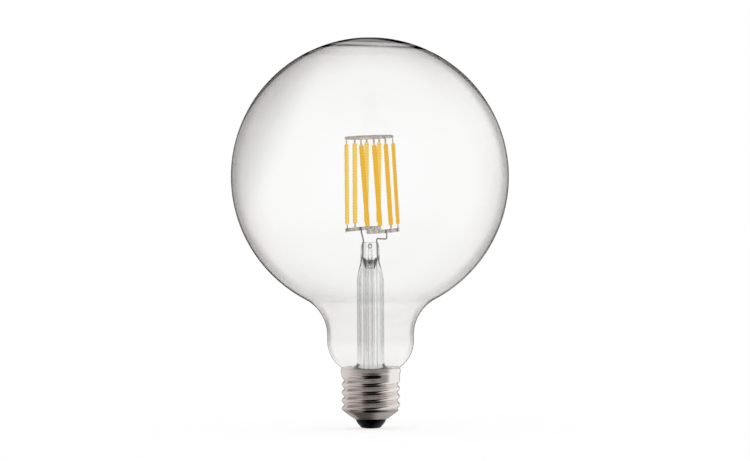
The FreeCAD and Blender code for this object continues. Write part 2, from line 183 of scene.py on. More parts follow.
# Heights that follow
BOWL_CENTRE = NECK_RADIUS - BOWL_RADIUS
BOWL_HEIGHT = CAP_HEIGHT + np.sqrt(BOWL_RADIUS**2 - (RIM_GLASS_RADIUS - BOWL_CENTRE)**2)
SHOULDER_CENTRE = NECK_RADIUS + SHOULDER_RADIUS
SHOULDER_HEIGHT = BOWL_HEIGHT + NECK_STRAIGHT
GLOBE_HEIGHT = SHOULDER_HEIGHT + np.sqrt((GLOBE_RADIUS + SHOULDER_RADIUS)**2 - SHOULDER_CENTRE**2)
SEAL_INSIDE = BOWL_HEIGHT - np.sqrt((BOWL_RADIUS - ENVELOPE_WALL)**2 - (SEAL_RADIUS - BOWL_CENTRE)**2)
FLARE_RIM = SEAL_INSIDE + 0.1
FLARE_TOP = SEAL_INSIDE + FLARE_HEIGHT
PRESS_TOP = SEAL_INSIDE + STEM_LENGTH
PRESS_BASE = PRESS_TOP - PRESS_HEIGHT
TUBE_TOP = PRESS_BASE - STEM_SHOULDER
CAGE_HEIGHT = FILAMENT_LENGTH + 2 * TAB_REACH
TAB_TO_STRIP = TAB_THICKNESS / 2 + WELD_GAP


# Points, faces and pieces

def smooth_step(value):
    """0 to 1 with level ends: 3 t squared less 2 t cubed, t clipped to 0..1."""
    t = np.clip(value, 0, 1)
    return t * t * (3 - 2 * t)


def loop_angles(count):
    """Evenly spaced angles once round, in radians."""
    return np.linspace(0, 2 * np.pi, count, endpoint=False)


def closed_surface(points, start_pole=None, end_pole=None, close_rows=False):
    """Vertices and face blocks of rows of closed loops, given as an array rows by columns by 3.

    Quads join each row to the next. A pole closes the first or last row with a fan of triangles.
    """
    rows, columns = points.shape[:2]
    index = np.arange(rows * columns).reshape(rows, columns)
    here = index if close_rows else index[:-1]
    above = np.roll(index, -1, axis=0) if close_rows else index[1:]
    quads = np.stack([here, np.roll(here, -1, axis=1), np.roll(above, -1, axis=1), above], axis=-1)
    vertices, blocks = [points.reshape(-1, 3)], [quads.reshape(-1, 4)]
    if start_pole is not None:
        pole = np.full(columns, sum(map(len, vertices)))
        blocks.append(np.stack([pole, np.roll(index[0], -1), index[0]], axis=-1))
        vertices.append(np.array([start_pole], dtype=float))
    if end_pole is not None:
        pole = np.full(columns, sum(map(len, vertices)))
        blocks.append(np.stack([index[-1], np.roll(index[-1], -1), pole], axis=-1))
        vertices.append(np.array([end_pole], dtype=float))
    return np.concatenate(vertices), blocks


def joined(*surfaces):
    """Several surfaces as one set of vertices and face blocks."""
    vertices, blocks, start = [], [], 0
    for points, faces in surfaces:
        vertices.append(points)
        blocks += [block + start for block in faces]
        start += len(points)
    return np.concatenate(vertices), blocks


def turned(profile, columns):
    """Profile of radius and height carried round Z: x = r cos a, y = r sin a, z = height."""
    angle = loop_angles(columns)
    radius, height = profile[:, :1], profile[:, 1:]
    return np.stack([radius * np.cos(angle), radius * np.sin(angle), height + 0 * angle], axis=-1)


def swept(path, section, side):
    """Section carried along a path: point = path + u side + v (tangent cross side).

    The section is columns by 2, or rows by columns by 2. The side is one vector or one for each row.
    """
    tangent = np.gradient(path, axis=0)
    tangent /= np.linalg.norm(tangent, axis=1, keepdims=True)
    side = np.broadcast_to(np.asarray(side, dtype=float), path.shape)
    side = side - np.sum(side * tangent, axis=1, keepdims=True) * tangent
    side /= np.linalg.norm(side, axis=1, keepdims=True)
    other = np.cross(tangent, side)
    section = np.broadcast_to(section, (len(path),) + section.shape[-2:])
    return path[:, None] + section[..., :1] * side[:, None] + section[..., 1:] * other[:, None]


def add_piece(name, surface, material, replaced, attributes=None, sharp=None):
    """Mesh object at the origin that rides on the root body and stands for its CAD nodes."""
    vertices, blocks = surface
    mesh = bpy.data.meshes.new(name)
    mesh.from_pydata((vertices * MM).tolist(), [], [face for block in blocks for face in block.tolist()])
    mesh.polygons.foreach_set("use_smooth", np.ones(len(mesh.polygons), dtype=bool))
    if sharp is not None:
        mesh.set_sharp_from_angle(angle=np.radians(sharp))
    for key, values in (attributes or {}).items():
        mesh.attributes.new(key, "FLOAT", "POINT").data.foreach_set("value", values.astype(np.float32))
    mesh.materials.append(material)
    mesh.update()
    piece = bpy.data.objects.new(name, mesh)
    bpy.context.scene.collection.objects.link(piece)
    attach(piece, "root")
    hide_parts(*replaced)
    return piece


# Finishes

# Heights between which the envelope's painted light and shade change
BOWL_PAINTED_LIGHT = (30.0, 43.0)
NECK_TO_GLOBE = (66.0, 90.0)
LOWER_GLASS = (26.0, 86.0)
CROWN_PALE = (173.5, 175.1)
# Directions towards a side with painted light and a side with painted shade, and the distances along them
# between which it sets in
PAINTED_LIGHT_SIDE = (0.866, 0.0, 0.5)
PAINTED_LIGHT_FROM = (104.0, 113.0)
PAINTED_SHADE_SIDE = (-0.9, 0.0, 0.42)
PAINTED_SHADE_FROM = (88.0, 103.0)
PAINTED_SHADE_SHARE = 0.85

# Grain of the cap
TURNING_LINE = 0.25
TURNING_RUN = 50 / 3        # a turning line keeps its tone for a third of 50 mm
TARNISH_CLOUD = 50 / 7      # seven clouds to 50 mm
VITRITE_RIPPLE = 2.0


def linear(code):
    """sRGB hex code as linear red, green, blue and alpha."""
    value = np.array([int(code[i:i + 2], 16) for i in (0, 2, 4)]) / 255
    value = np.where(value <= 0.04045, value / 12.92, ((value + 0.055) / 1.055)**2.4)
    return (*value.tolist(), 1.0)


def add(tree, kind, inputs=None, stops=None, **settings):
    """Node with its settings, its ramp stops, and its inputs as values or as sockets to link from."""
    new = tree.nodes.new(kind)
    for key, value in settings.items():
        setattr(new, key, value)
    for key, value in (inputs or {}).items():
        if isinstance(value, bpy.types.NodeSocket):
            tree.links.new(value, new.inputs[key])
        else:
            new.inputs[key].default_value = value
    if stops:
        elements = new.color_ramp.elements
        while len(elements) < len(stops):
            elements.new(0.5)
        for element, (place, code) in zip(elements, stops):
            element.position, element.color = place, linear(code)
    return new


def new_material(name):
    """Empty node material and its tree."""
    material = bpy.data.materials.new(name)
    material.use_nodes = True
    material.node_tree.nodes.clear()
    return material, material.node_tree


def finish_material(tree, inputs):
    """Principled surface on the material's output."""
    shader = add(tree, "ShaderNodeBsdfPrincipled", inputs)
    add(tree, "ShaderNodeOutputMaterial", {"Surface": shader.outputs["BSDF"]})


def blown_glass():
    """Blown soda-lime glass: clear face on, and grey where the eye looks along the wall.

    The grey is painted shade. It is paler at the shoulder, at the crown and over the cement, and lighter high
    on the right, which is painted light; it is a little greyer high on the left and a little darker over the
    neck.
    """
    material, tree = new_material("blown_soda_lime_glass")
    facing = add(tree, "ShaderNodeLayerWeight", {"Blend": 0.5}).outputs["Facing"]
    # Painted shade: the wall's edges go grey where the eye looks along it
    rim = add(tree, "ShaderNodeValToRGB", {"Fac": facing}, stops=[
        (0.0, "FEFEFE"), (0.35, "FBFBFA"), (0.5, "F4F3F2"), (0.64, "E4E2E1"),
        (0.72, "C2BFBE"), (0.8, "8E8A89"), (0.88, "5E5A59"), (1.0, "3C3837")])
    place = add(tree, "ShaderNodeTexCoord").outputs["Object"]
    height = add(tree, "ShaderNodeSeparateXYZ", {0: place}).outputs["Z"]
    # Painted shade on the edges of the neck
    neck = add(tree, "ShaderNodeValToRGB", {"Fac": facing}, stops=[
        (0.0, "FEFEFE"), (0.45, "FBFBFA"), (0.6, "F8F7F7"), (0.7, "B4B0AF"),
        (0.8, "6A6665"), (1.0, "4A4645")])
    # Painted light: paler edges high on the right
    clear = add(tree, "ShaderNodeValToRGB", {"Fac": facing}, stops=[
        (0.0, "FEFEFE"), (0.35, "FDFDFC"), (0.5, "F9F9F8"), (0.64, "F0EFEE"),
        (0.69, "DCDAD9"), (0.76, "9E9B9A"), (0.84, "727070"), (1.0, "3C3837")])
    right = add(tree, "ShaderNodeVectorMath", {0: place, 1: PAINTED_LIGHT_SIDE}, operation="DOT_PRODUCT")
    right = add(tree, "ShaderNodeMapRange", {
        "Value": right.outputs["Value"], "From Min": PAINTED_LIGHT_FROM[0] * MM, "From Max": PAINTED_LIGHT_FROM[1] * MM})
    upper = add(tree, "ShaderNodeMix", {
        0: right.outputs[0], 6: rim.outputs["Color"], 7: clear.outputs["Color"]}, data_type="RGBA")
    globe = add(tree, "ShaderNodeMapRange", {
        "Value": height, "From Min": NECK_TO_GLOBE[0] * MM, "From Max": NECK_TO_GLOBE[1] * MM})
    tint = add(tree, "ShaderNodeMix", {0: globe.outputs[0], 6: neck.outputs["Color"], 7: upper.outputs[2]},
               data_type="RGBA")
    level = add(tree, "ShaderNodeMapRange", {
        "Value": height, "From Min": LOWER_GLASS[0] * MM, "From Max": LOWER_GLASS[1] * MM})
    # Painted light: paler edges low on the globe by the shoulder, and at the crown
    low = add(tree, "ShaderNodeValToRGB", {"Fac": level.outputs[0]}, stops=[
        (0.36, "000000"), (0.48, "FFFFFF"), (0.6, "FFFFFF"), (0.95, "000000")])
    pale = add(tree, "ShaderNodeValToRGB", {"Fac": facing}, stops=[
        (0.0, "FEFEFE"), (0.45, "FBFBFA"), (0.6, "F6F5F5"), (0.69, "E4E2E1"),
        (0.76, "D8D5D4"), (0.83, "D0CDCC"), (0.92, "B0ACAB"), (1.0, "8A8685")])
    tint = add(tree, "ShaderNodeMix", {0: low.outputs["Color"], 6: tint.outputs[2], 7: pale.outputs["Color"]},
               data_type="RGBA")
    crown = add(tree, "ShaderNodeMapRange", {
        "Value": height, "From Min": CROWN_PALE[0] * MM, "From Max": CROWN_PALE[1] * MM})
    tint = add(tree, "ShaderNodeMix", {0: crown.outputs[0], 6: tint.outputs[2], 7: pale.outputs["Color"]},
               data_type="RGBA")
    # Painted light: over the cement the bowl and neck keep almost none of the grey
    painted_light_bowl = add(tree, "ShaderNodeMapRange", {
        "Value": height, "From Min": BOWL_PAINTED_LIGHT[0] * MM, "From Max": BOWL_PAINTED_LIGHT[1] * MM})
    tint = add(tree, "ShaderNodeMix", {0: painted_light_bowl.outputs[0], 6: linear("FBFAF9"), 7: tint.outputs[2]},
               data_type="RGBA")
    # Painted shade: a little darker over the neck
    painted_neck_shade = add(tree, "ShaderNodeValToRGB", {"Fac": level.outputs[0]}, stops=[
        (0.14, "FFFFFF"), (0.24, "F9F8F8"), (0.42, "F9F8F8"), (0.56, "FFFFFF")])
    tint = add(tree, "ShaderNodeMix", {0: 1.0, 6: tint.outputs[2], 7: painted_neck_shade.outputs["Color"]},
               data_type="RGBA", blend_type="MULTIPLY")
    # Painted shade: the glass a little greyer high on the left
    side = add(tree, "ShaderNodeVectorMath", {0: place, 1: PAINTED_SHADE_SIDE}, operation="DOT_PRODUCT")
    side = add(tree, "ShaderNodeMapRange", {
        "Value": side.outputs["Value"], "From Min": PAINTED_SHADE_FROM[0] * MM, "From Max": PAINTED_SHADE_FROM[1] * MM,
        "To Min": 1.0, "To Max": PAINTED_SHADE_SHARE})
    tint = add(tree, "ShaderNodeMix", {0: 1.0, 6: tint.outputs[2], 7: side.outputs[0]},
               data_type="RGBA", blend_type="MULTIPLY")
    finish_material(tree, {
        "Base Color": tint.outputs[2], "Roughness": 0.0, "IOR": 1.45, "Specular Tint": linear("B4B4B4"),
        "Transmission Weight": 1.0})
    return material


def pressed_glass():
    """Drawn and flame-pressed glass tube, with painted shade: dark edges, grey stripes across it, and a grey
    ring where the press closed.

    The ring bends up at both sides: height less the ring's bend times x squared. Near the flare it stays
    clear.
    """
    material, tree = new_material("pressed_stem_glass")
    facing = add(tree, "ShaderNodeLayerWeight", {"Blend": 0.5}).outputs["Facing"]
    # Painted shade: dark edges where the eye looks along the glass
    rim = add(tree, "ShaderNodeValToRGB", {"Fac": facing}, stops=[
        (0.0, "FEFEFE"), (0.35, "F7F8F8"), (0.6, "E0E2E1"), (0.85, "868988"), (1.0, "5A5D5C")])
    place = add(tree, "ShaderNodeTexCoord").outputs["Object"]
    across, _, height = add(tree, "ShaderNodeSeparateXYZ", {0: place}).outputs
    width = add(tree, "ShaderNodeMapRange", {
        "Value": across, "From Min": -STEM_RADIUS * MM, "From Max": STEM_RADIUS * MM})
    # Painted shade: grey stripes across the stem, greenish at its right edge
    painted_stripe_shade = add(tree, "ShaderNodeValToRGB", {"Fac": width.outputs[0]}, stops=[
        (0.0, "DEDEDE"), (0.08, "D6D6D6"), (0.17, "FDFDFD"), (0.25, "FDFDFD"),
        (0.32, "DEDEDE"), (0.4, "FFFFFF"), (0.5, "FFFFFF"), (0.565, "F2F2F2"),
        (0.62, "FFFFFF"), (0.9, "FFFFFF"), (0.96, "DEE2E0"), (1.0, "D0D4D2")])
    painted_edge_and_stripe_shade = add(tree, "ShaderNodeMix", {0: 1.0, 6: rim.outputs["Color"], 7: painted_stripe_shade.outputs["Color"]},
                 data_type="RGBA", blend_type="MULTIPLY")
    bend = add(tree, "ShaderNodeMath", {0: across, 1: across}, operation="MULTIPLY")
    bend = add(tree, "ShaderNodeMath", {0: bend.outputs[0], 1: -SHADE_RING_BEND / MM, 2: height},
               operation="MULTIPLY_ADD")
    level = add(tree, "ShaderNodeMapRange", {
        "Value": bend.outputs[0], "From Min": (PRESS_BASE - 5) * MM, "From Max": (PRESS_BASE + 1) * MM})
    # Painted shade: a grey ring where the press closed
    painted_shade_ring = add(tree, "ShaderNodeValToRGB", {"Fac": level.outputs[0]}, stops=[
        (0.0, "FFFFFF"), (0.22, "D8D8D6"), (0.4, "7A7A78"), (0.55, "868684"), (0.72, "FFFFFF")])
    closed = add(tree, "ShaderNodeMix", {0: 1.0, 6: painted_edge_and_stripe_shade.outputs[2], 7: painted_shade_ring.outputs["Color"]},
                 data_type="RGBA", blend_type="MULTIPLY")
    # The painted shade sets in from the flare upwards; below it the glass is almost clear
    drawn = add(tree, "ShaderNodeMapRange", {
        "Value": height, "From Min": FLARE_RIM * MM, "From Max": (FLARE_TOP + 9) * MM})
    tint = add(tree, "ShaderNodeMix", {0: drawn.outputs[0], 6: linear("FBFCFB"), 7: closed.outputs[2]},
               data_type="RGBA")
    finish_material(tree, {
        "Base Color": tint.outputs[2], "Roughness": 0.0, "IOR": 1.5, "Transmission Weight": 1.0})
    return material


def phosphor_silicone():
    """Silicone loaded with yellow phosphor: satin, deep amber over the chips outside, paler inside.

    It also glows a little in its own colour, though it is no lamp: painted light that lifts the filaments
    inside the glass.
    """
    material, tree = new_material("phosphor_silicone")
    outward = add(tree, "ShaderNodeAttribute", attribute_name="outward").outputs["Fac"]
    along = add(tree, "ShaderNodeAttribute", attribute_name="along").outputs["Fac"]
    chips = add(tree, "ShaderNodeMath", {0: along, 1: 2 * np.pi / CHIP_PITCH}, operation="MULTIPLY")
    chips = add(tree, "ShaderNodeMath", {0: chips.outputs[0]}, operation="SINE")
    side = add(tree, "ShaderNodeMapRange", {"Value": outward, "From Min": -0.7, "From Max": 0.5},
               interpolation_type="SMOOTHSTEP")
    coat = add(tree, "ShaderNodeMix", {0: side.outputs[0], 6: linear("F3D564"), 7: linear("E6B11A")},
               data_type="RGBA")
    chip = add(tree, "ShaderNodeMapRange", {"Value": chips.outputs[0], "From Min": -1.0, "To Max": 0.3})
    glow = add(tree, "ShaderNodeMix", {0: chip.outputs[0], 6: coat.outputs[2], 7: linear("D2980E")},
               data_type="RGBA")
    # Painted light: a weak glow in the coat's own colour
    finish_material(tree, {
        "Base Color": glow.outputs[2], "Roughness": 0.45, "IOR": 1.41, "Emission Color": glow.outputs[2],
        "Emission Strength": 0.1})
    return material


def nickel_plate():
    """Nickel on drawn brass: bright, a little warm, with fine turning lines and a darker tone in the grooves.

    Its colour darkens towards the lip, which is painted shade.
    """
    material, tree = new_material("nickel_plated_brass")
    place = add(tree, "ShaderNodeTexCoord").outputs["Object"]
    groove = add(tree, "ShaderNodeAttribute", attribute_name="groove").outputs["Fac"]
    run, line = 1 / (TURNING_RUN * MM), 1 / (TURNING_LINE * MM)
    lines = add(tree, "ShaderNodeMapping", {"Vector": place, "Scale": (run, run, line)})
    lines = add(tree, "ShaderNodeTexNoise", {"Vector": lines.outputs[0], "Scale": 1.0, "Detail": 2.0})
    cloud = add(tree, "ShaderNodeTexNoise", {
        "Vector": place, "Scale": 1 / (TARNISH_CLOUD * MM), "Detail": 4.0})
    dull = add(tree, "ShaderNodeMapRange", {"Value": cloud.outputs[0], "From Min": 0.3, "From Max": 0.7,
                                            "To Min": 0.11, "To Max": 0.24})
    # Darker in the thread's grooves
    cap_tone = add(tree, "ShaderNodeMix", {0: groove, 6: linear("EDE8E6"), 7: linear("D6D0CE")},
                  data_type="RGBA")
    height = add(tree, "ShaderNodeSeparateXYZ", {0: place}).outputs["Z"]
    # Painted shade: the colour darkens from the collar down to the lip
    painted_low_shade = add(tree, "ShaderNodeMapRange", {
        "Value": height, "From Min": LIP_HEIGHT * MM, "From Max": COLLAR_BASE * MM})
    painted_low_shade = add(tree, "ShaderNodeValToRGB", {"Fac": painted_low_shade.outputs[0]}, stops=[
        (0.0, "ACA6A4"), (0.19, "B0AAA8"), (0.25, "F2EEEC"), (0.75, "FFFFFF")])
    cap_tone = add(tree, "ShaderNodeMix", {0: 1.0, 6: cap_tone.outputs[2], 7: painted_low_shade.outputs["Color"]},
                  data_type="RGBA", blend_type="MULTIPLY")
    bump = add(tree, "ShaderNodeBump", {"Height": lines.outputs[0], "Strength": 0.12, "Distance": 0.1 * MM})
    finish_material(tree, {
        "Base Color": cap_tone.outputs[2], "Metallic": 1.0, "Roughness": dull.outputs[0],
        "Normal": bump.outputs[0]})
    return material


def black_vitrite():
    """Black glass poured into the cap: glossy, with the faint ripple of a cast surface."""
    material, tree = new_material("black_vitrite")
    place = add(tree, "ShaderNodeTexCoord").outputs["Object"]
    ripple = add(tree, "ShaderNodeTexNoise", {
        "Vector": place, "Scale": 1 / (VITRITE_RIPPLE * MM), "Detail": 2.0})
    bump = add(tree, "ShaderNodeBump", {"Height": ripple.outputs[0], "Strength": 0.15, "Distance": 0.2 * MM})
    finish_material(tree, {
        "Base Color": linear("030303"), "Roughness": 0.25, "Specular IOR Level": 0.1,
        "Normal": bump.outputs[0]})
    return material


def metal(name, light, dark, rough, grain):
    """Bare metal with soft cloudy wear between two tones, its grain given in millimetres."""
    material, tree = new_material(name)
    place = add(tree, "ShaderNodeTexCoord").outputs["Object"]
    cloud = add(tree, "ShaderNodeTexNoise", {"Vector": place, "Scale": 1 / (grain * MM), "Detail": 3.0})
    tone = add(tree, "ShaderNodeValToRGB", {"Fac": cloud.outputs[0]}, stops=[(0.35, light), (0.68, dark)])
    worn = add(tree, "ShaderNodeMapRange", {"Value": cloud.outputs[0], "From Min": 0.3, "From Max": 0.7,
                                            "To Min": rough * 0.7, "To Max": rough * 1.3})
    finish_material(tree, {"Base Color": tone.outputs[0], "Metallic": 1.0, "Roughness": worn.outputs[0]})
    return material


def lead_wire_metal():
    """Drawn wire: grey nickel in the globe, and a bright plated lead below, inside the stem."""
    material, tree = new_material("drawn_nickel_wire")
    place = add(tree, "ShaderNodeTexCoord").outputs["Object"]
    height = add(tree, "ShaderNodeSeparateXYZ", {0: place}).outputs["Z"]
    joint = add(tree, "ShaderNodeMapRange", {
        "Value": height, "From Min": (PRESS_BASE - 1) * MM, "From Max": (PRESS_BASE + 2) * MM})
    tone = add(tree, "ShaderNodeMix", {0: joint.outputs[0], 6: linear("FCFBF9"), 7: linear("938D87")},
               data_type="RGBA")
    finish_material(tree, {"Base Color": tone.outputs[2], "Metallic": 1.0, "Roughness": 0.45})
    return material


def dull_body(name, light, dark, rough, grain):
    """Opaque moulded, fired or coated body with a speckle between two tones and a matching fine bump."""
    material, tree = new_material(name)
    place = add(tree, "ShaderNodeTexCoord").outputs["Object"]
    speckle = add(tree, "ShaderNodeTexNoise", {"Vector": place, "Scale": 1 / (grain * MM), "Detail": 3.0})
    tone = add(tree, "ShaderNodeValToRGB", {"Fac": speckle.outputs[0]}, stops=[(0.35, light), (0.68, dark)])
    bump = add(tree, "ShaderNodeBump", {
        "Height": speckle.outputs[0], "Strength": 0.2, "Distance": grain * MM / 4})
    finish_material(tree, {"Base Color": tone.outputs[0], "Roughness": rough, "Normal": bump.outputs[0]})
    return material


envelope_glass = blown_glass()
stem_glass = pressed_glass()
filament_coat = phosphor_silicone()
cap_nickel = nickel_plate()
vitrite = black_vitrite()
contact_tin = metal("tinned_brass", "D2CCBE", "B4AC9A", 0.3, 0.8)
bright_strip = metal("rolled_nickel_strip", "CFCAC3", "A39D95", 0.28, 1.2)
lead_nickel = lead_wire_metal()
tinned_copper = metal("tinned_copper_wire", "C9C1B4", "A89C88", 0.35, 0.6)
cement_body = dull_body("basing_cement", "FBF8F3", "EFEAE2", 0.9, 0.35)
board_mask = dull_body("solder_mask_on_epoxy_board", "2E6B41", "255A37", 0.35, 0.5)
package_epoxy = dull_body("epoxy_moulding_compound", "232324", "19191A", 0.6, 0.15)
capacitor_sleeve = dull_body("shrunk_plastic_sleeve", "25262C", "1D1E23", 0.3, 0.8)
resistor_enamel = dull_body("baked_resistor_enamel", "7E9A88", "6F8A79", 0.35, 0.4)


# Glass envelope

def arc_profile(centre, radius, start, end, count, outward=1):
    """Radius, height and outward normal along an arc, with angles from +R towards +Z."""
    angle = np.radians(np.linspace(start, end, count))
    normal = np.stack([np.cos(angle), np.sin(angle)], axis=-1)
    return np.concatenate([np.array(centre) + radius * normal, outward * normal], axis=-1)


def envelope_profile(inset):
    """Seal to crown, set in by the inset: round bowl, straight neck, hollow shoulder and globe."""
    bowl = BOWL_RADIUS - inset
    seal = -np.degrees(np.arccos((SEAL_RADIUS - BOWL_CENTRE) / bowl))
    meet = np.degrees(np.arcsin((GLOBE_HEIGHT - SHOULDER_HEIGHT) / (GLOBE_RADIUS + SHOULDER_RADIUS)))
    neck = np.linspace(
        [NECK_RADIUS - inset, BOWL_HEIGHT, 1, 0], [NECK_RADIUS - inset, SHOULDER_HEIGHT, 1, 0], 5)
    shoulder = SHOULDER_CENTRE, SHOULDER_HEIGHT
    return np.concatenate([
        arc_profile((BOWL_CENTRE, BOWL_HEIGHT), bowl, seal, 0, 28)[:-1],
        neck[:-1],
        arc_profile(shoulder, SHOULDER_RADIUS + inset, 180, 180 - meet, 28, -1)[:-1],
        arc_profile((0, GLOBE_HEIGHT), GLOBE_RADIUS - inset, -meet, 89.2, 112),
    ])


def envelope_wall(inset):
    """Wall turned round Z and moved along its normal by a slow wave, as blown glass is never quite even.

    The wave is sin(2a + z/31 + 0.7) sin(z/23 + 1.1) + sin(3a - z/19). The outside only moves inwards, by up
    to 0.1 mm. The inside waves by 0.1 mm, sinks under the crown, and has ripples round it: height times
    sin(0.8 r + 1.2 sin 2a) times a bell curve of the radius r.
    """
    profile = envelope_profile(inset)
    angle = loop_angles(192)
    radius, height = profile[:, :1], profile[:, 1:2]
    wave = np.sin(2 * angle + height / 31 + 0.7) * np.sin(height / 23 + 1.1)
    wave = wave + np.sin(3 * angle - height / 19)
    if inset:
        high = smooth_step((height - GLOBE_HEIGHT) / GLOBE_RADIUS)
        bell = np.exp(-((radius - RIPPLE_RADIUS) / RIPPLE_SPREAD)**2)
        ripple = np.sin(0.8 * radius + 1.2 * np.sin(2 * angle)) * bell
        gather = np.exp(-(radius / CROWN_SPREAD)**2)
        move = WALL_WAVE * wave + high * (RIPPLE_HEIGHT * ripple - CROWN_EXTRA * gather)
    else:
        move = WALL_WAVE / 2 * (wave - 2)
    radius = radius + move * profile[:, 2:3]
    height = height + move * profile[:, 3:4]
    return np.stack([radius * np.cos(angle), radius * np.sin(angle), height], axis=-1)


def glass_envelope():
    """Down the inside from the crown to the seal, then up the outside to the crown."""
    inside, outside = envelope_wall(ENVELOPE_WALL)[::-1], envelope_wall(0)
    return closed_surface(
        np.concatenate([inside, outside]),
        (0, 0, inside[0, :, 2].mean()), (0, 0, outside[-1, :, 2].mean()))


add_piece("envelope_glass", glass_envelope(), envelope_glass, ["glass_envelope"])


# Glass stem

def stem_half_sizes(height):
    """Half width and half depth of the stem at a height: flare, round tube, then a flat oval press."""
    flare = np.clip((FLARE_TOP - height) / (FLARE_TOP - FLARE_RIM), 0, 1)
    radius = STEM_RADIUS + (SEAL_RADIUS - FLARE_GAP - STEM_RADIUS) * flare**FLARE_CURVE
    flat = smooth_step((height - TUBE_TOP) / (PRESS_BASE - TUBE_TOP))
    close = np.clip((height - PRESS_BASE) / PRESS_HEIGHT, 0, 1)**3
    half_width = radius + (PRESS_HALF_WIDTH - STEM_RADIUS) * flat
    half_depth = radius + (PRESS_HALF_DEPTH - STEM_RADIUS) * flat
    return (
        half_width + (PRESS_TOP_HALF_WIDTH - PRESS_HALF_WIDTH) * close,
        half_depth + (PRESS_TOP_HALF_DEPTH - PRESS_HALF_DEPTH) * close)


def oval_radius(angle, half_width, half_depth):
    """Distance from the axis to an ellipse at an angle."""
    return 1 / np.sqrt((np.cos(angle) / half_width)**2 + (np.sin(angle) / half_depth)**2)


def bore_radius(angle, height):
    """Distance from the axis to the stem's bore, which never closes on the exhaust tube."""
    half_width, half_depth = stem_half_sizes(height)
    bore = oval_radius(angle, half_width - STEM_WALL, half_depth - STEM_WALL)
    return np.maximum(bore, EXHAUST_RADIUS + BORE_GAP)


def around_axis(radius, angle, height):
    """Grid of points from radius, angle and height: x = r cos a, y = r sin a, z = height."""
    return np.stack(np.broadcast_arrays(radius * np.cos(angle), radius * np.sin(angle), height), axis=-1)


def glass_stem():
    """Exhaust tube up from its sealed tip, round the end of the bore, down the bore, and up the outside.

    The bore's end is an annular dome round the exhaust tube, high at both sides and low at front and back
    where the press squeezed it: top = base + rise cos squared a.
    """
    angle = loop_angles(96)
    dome_top = PRESS_BASE - DOME_DROP + DOME_RISE * np.cos(angle)**2
    spring = dome_top - DOME_HEIGHT
    tip = np.radians(np.linspace(8, 90, 8))[:, None]
    tip_rows = around_axis(
        EXHAUST_RADIUS * np.sin(tip), angle, EXHAUST_TIP + EXHAUST_RADIUS * (1 - np.cos(tip)))
    run = np.linspace(0, 1, 40)[1:, None]
    exhaust_rows = around_axis(
        EXHAUST_RADIUS, angle, EXHAUST_TIP + EXHAUST_RADIUS + run * (spring - EXHAUST_TIP - EXHAUST_RADIUS))
    bore_edge = bore_radius(angle, spring)
    turn = np.linspace(0, np.pi, 18)[1:-1, None]
    middle, reach = (bore_edge + EXHAUST_RADIUS) / 2, (bore_edge - EXHAUST_RADIUS) / 2
    dome_rows = around_axis(middle - reach * np.cos(turn), angle, spring + (dome_top - spring) * np.sin(turn))
    down = np.linspace(0, 1, 60)[:, None]
    bore_height = spring + down * (FLARE_RIM + FLARE_EDGE - spring)
    bore_rows = around_axis(bore_radius(angle, bore_height), angle, bore_height)
    height = np.concatenate([
        np.linspace(FLARE_RIM, FLARE_TOP, 14)[:-1], np.linspace(FLARE_TOP, TUBE_TOP, 12)[:-1],
        np.linspace(TUBE_TOP, PRESS_BASE, 30)[:-1],
        np.linspace(PRESS_BASE, PRESS_TOP - PRESS_EDGE, 14)])[:, None]
    outside_rows = around_axis(oval_radius(angle, *stem_half_sizes(height)), angle, height)
    edge = np.radians(np.linspace(0, 90, 9))[1:, None]
    shrink = PRESS_EDGE * (1 - np.cos(edge))
    edge_height = PRESS_TOP - PRESS_EDGE * (1 - np.sin(edge))
    half_width, half_depth = stem_half_sizes(edge_height)
    edge_rows = around_axis(oval_radius(angle, half_width - shrink, half_depth - shrink), angle, edge_height)
    boundary = closed_surface(
        np.concatenate([tip_rows, exhaust_rows, dome_rows, bore_rows, outside_rows, edge_rows]),
        (0, 0, EXHAUST_TIP), (0, 0, PRESS_TOP))
    return joined(boundary, blow_hole(angle))


def blow_hole(angle):
    """Bore of the exhaust tube, from an egg-shaped bubble in the press down to the sealed tip."""
    middle = PRESS_TOP - BLOW_HOLE_DROP
    rise = BUBBLE_HEIGHT * BLOW_HOLE_RADIUS
    bore_end = EXHAUST_TIP + BORE_END_RISE
    lat = np.radians(np.linspace(84, -50, 22))[:, None]
    bubble = around_axis(
        oval_radius(angle, BLOW_HOLE_RADIUS * np.cos(lat), BUBBLE_DEPTH * BLOW_HOLE_RADIUS * np.cos(lat)),
        angle, middle + rise * np.sin(lat))
    bore = np.linspace(middle - BUBBLE_NECK, bore_end, 40)[:, None]
    bore_rows = around_axis(EXHAUST_BORE, angle, bore)
    tip = np.radians(np.linspace(0, 80, 7))[1:, None]
    tip_rows = around_axis(EXHAUST_BORE * np.cos(tip), angle, bore_end - EXHAUST_BORE * np.sin(tip))
    return closed_surface(
        np.concatenate([bubble, bore_rows, tip_rows]),
        (0, 0, middle + rise), (0, 0, bore_end - EXHAUST_BORE))


add_piece("stem_glass", glass_stem(), stem_glass, ["stem_tube", "exhaust_tube"])


# Filament cage

def rotation(axis, angle):
    """Rotation matrix, 3 by 3, about a named axis."""
    return np.array(Matrix.Rotation(np.radians(angle), 3, axis))


CAGE_TURN = rotation("Y", CAGE_LEAN) @ rotation("X", CAGE_PITCH)
CAGE_FOOT = np.array([*CAGE_OFFSET, PRESS_TOP + CAGE_RISE])


def in_cage(points):
    """Points of the cage's own frame, tipped, leaned and stood on the leads."""
    return np.asarray(points) @ CAGE_TURN.T + CAGE_FOOT


def on_circle(radius, turn, height):
    """Point of the cage's own frame, with the turn from the front towards +X."""
    turn = np.radians(turn)
    return np.stack(np.broadcast_arrays(radius * np.sin(turn), -radius * np.cos(turn), height), axis=-1)


